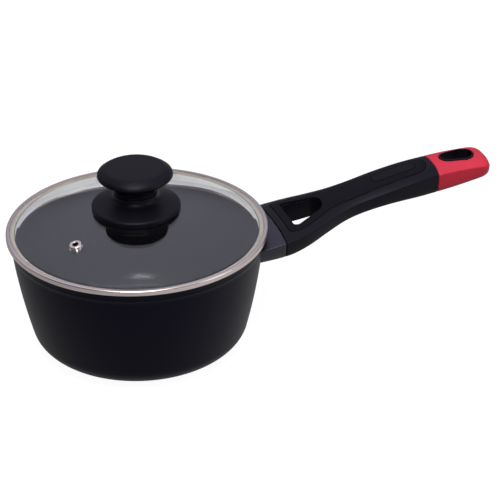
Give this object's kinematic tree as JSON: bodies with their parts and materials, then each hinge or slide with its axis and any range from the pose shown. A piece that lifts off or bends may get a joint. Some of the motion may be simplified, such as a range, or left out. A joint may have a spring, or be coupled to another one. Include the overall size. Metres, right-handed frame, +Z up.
{
  "type": "saucepan with lid",
  "caption": "Round tapered saucepan with a crowned fork handle, a coloured handle end with a hanging slot, and a domed glass lid with a steel band, a steam vent and a two-disc knob.",
  "frame": {"origin": "centre of the pan's flat base, on the surface that it stands on", "axes": "+Z up along the pan's axis, +X along the handle towards its tip, +Y to the handle's left seen from the pan"},
  "size_m": [0.3302, 0.1696, 0.1253],
  "materials": {
    "pan_coating": "dark plum-black enamel-like coating, satin",
    "nonstick": "dark grey non-stick lining, semi-gloss",
    "raw_steel": "stainless steel, brushed",
    "zinc_steel": "zinc-plated steel",
    "guard_coating": "black coated metal, smooth satin",
    "phenolic": "black phenolic, fine matte texture",
    "soft_panel": "charcoal soft-touch inlay",
    "badge": "charcoal soft-touch, smoother than the inlay",
    "red_soft": "red soft-touch overmould",
    "glass": "clear tempered glass",
    "rim_steel": "polished stainless steel",
    "seal": "heat-resistant brown sealant",
    "silicone": "dark silicone",
    "brass": "turned brass"
  },
  "bodies": {
    "pan": {"pan_body": "pan_coating", "nonstick_lining": "nonstick", "induction_disc": "raw_steel", "handle_stud": "zinc_steel", "flame_guard": "guard_coating", "handle_core": "phenolic", "grip_panel": "soft_panel", "badge_plate": "badge", "end_cap": "red_soft", "handle_screw": "zinc_steel", "spring_washer": "zinc_steel"},
    "lid": {"lid_glass": "glass", "lid_rim": "rim_steel", "rim_seal": "seal", "vent_eyelet": "rim_steel", "vent_ring": "rim_steel", "knob_cap": "phenolic", "knob_base": "phenolic", "knob_insert": "brass", "knob_screw": "zinc_steel", "base_gasket": "silicone", "glass_gasket": "silicone", "backing_washer": "raw_steel"}
  },
  "joints": [
    {"name": "lid_lift", "type": "slide", "parent": "pan", "child": "lid", "axis": [0, 0, 1], "range_m": [0, 0.12]}
  ]
}
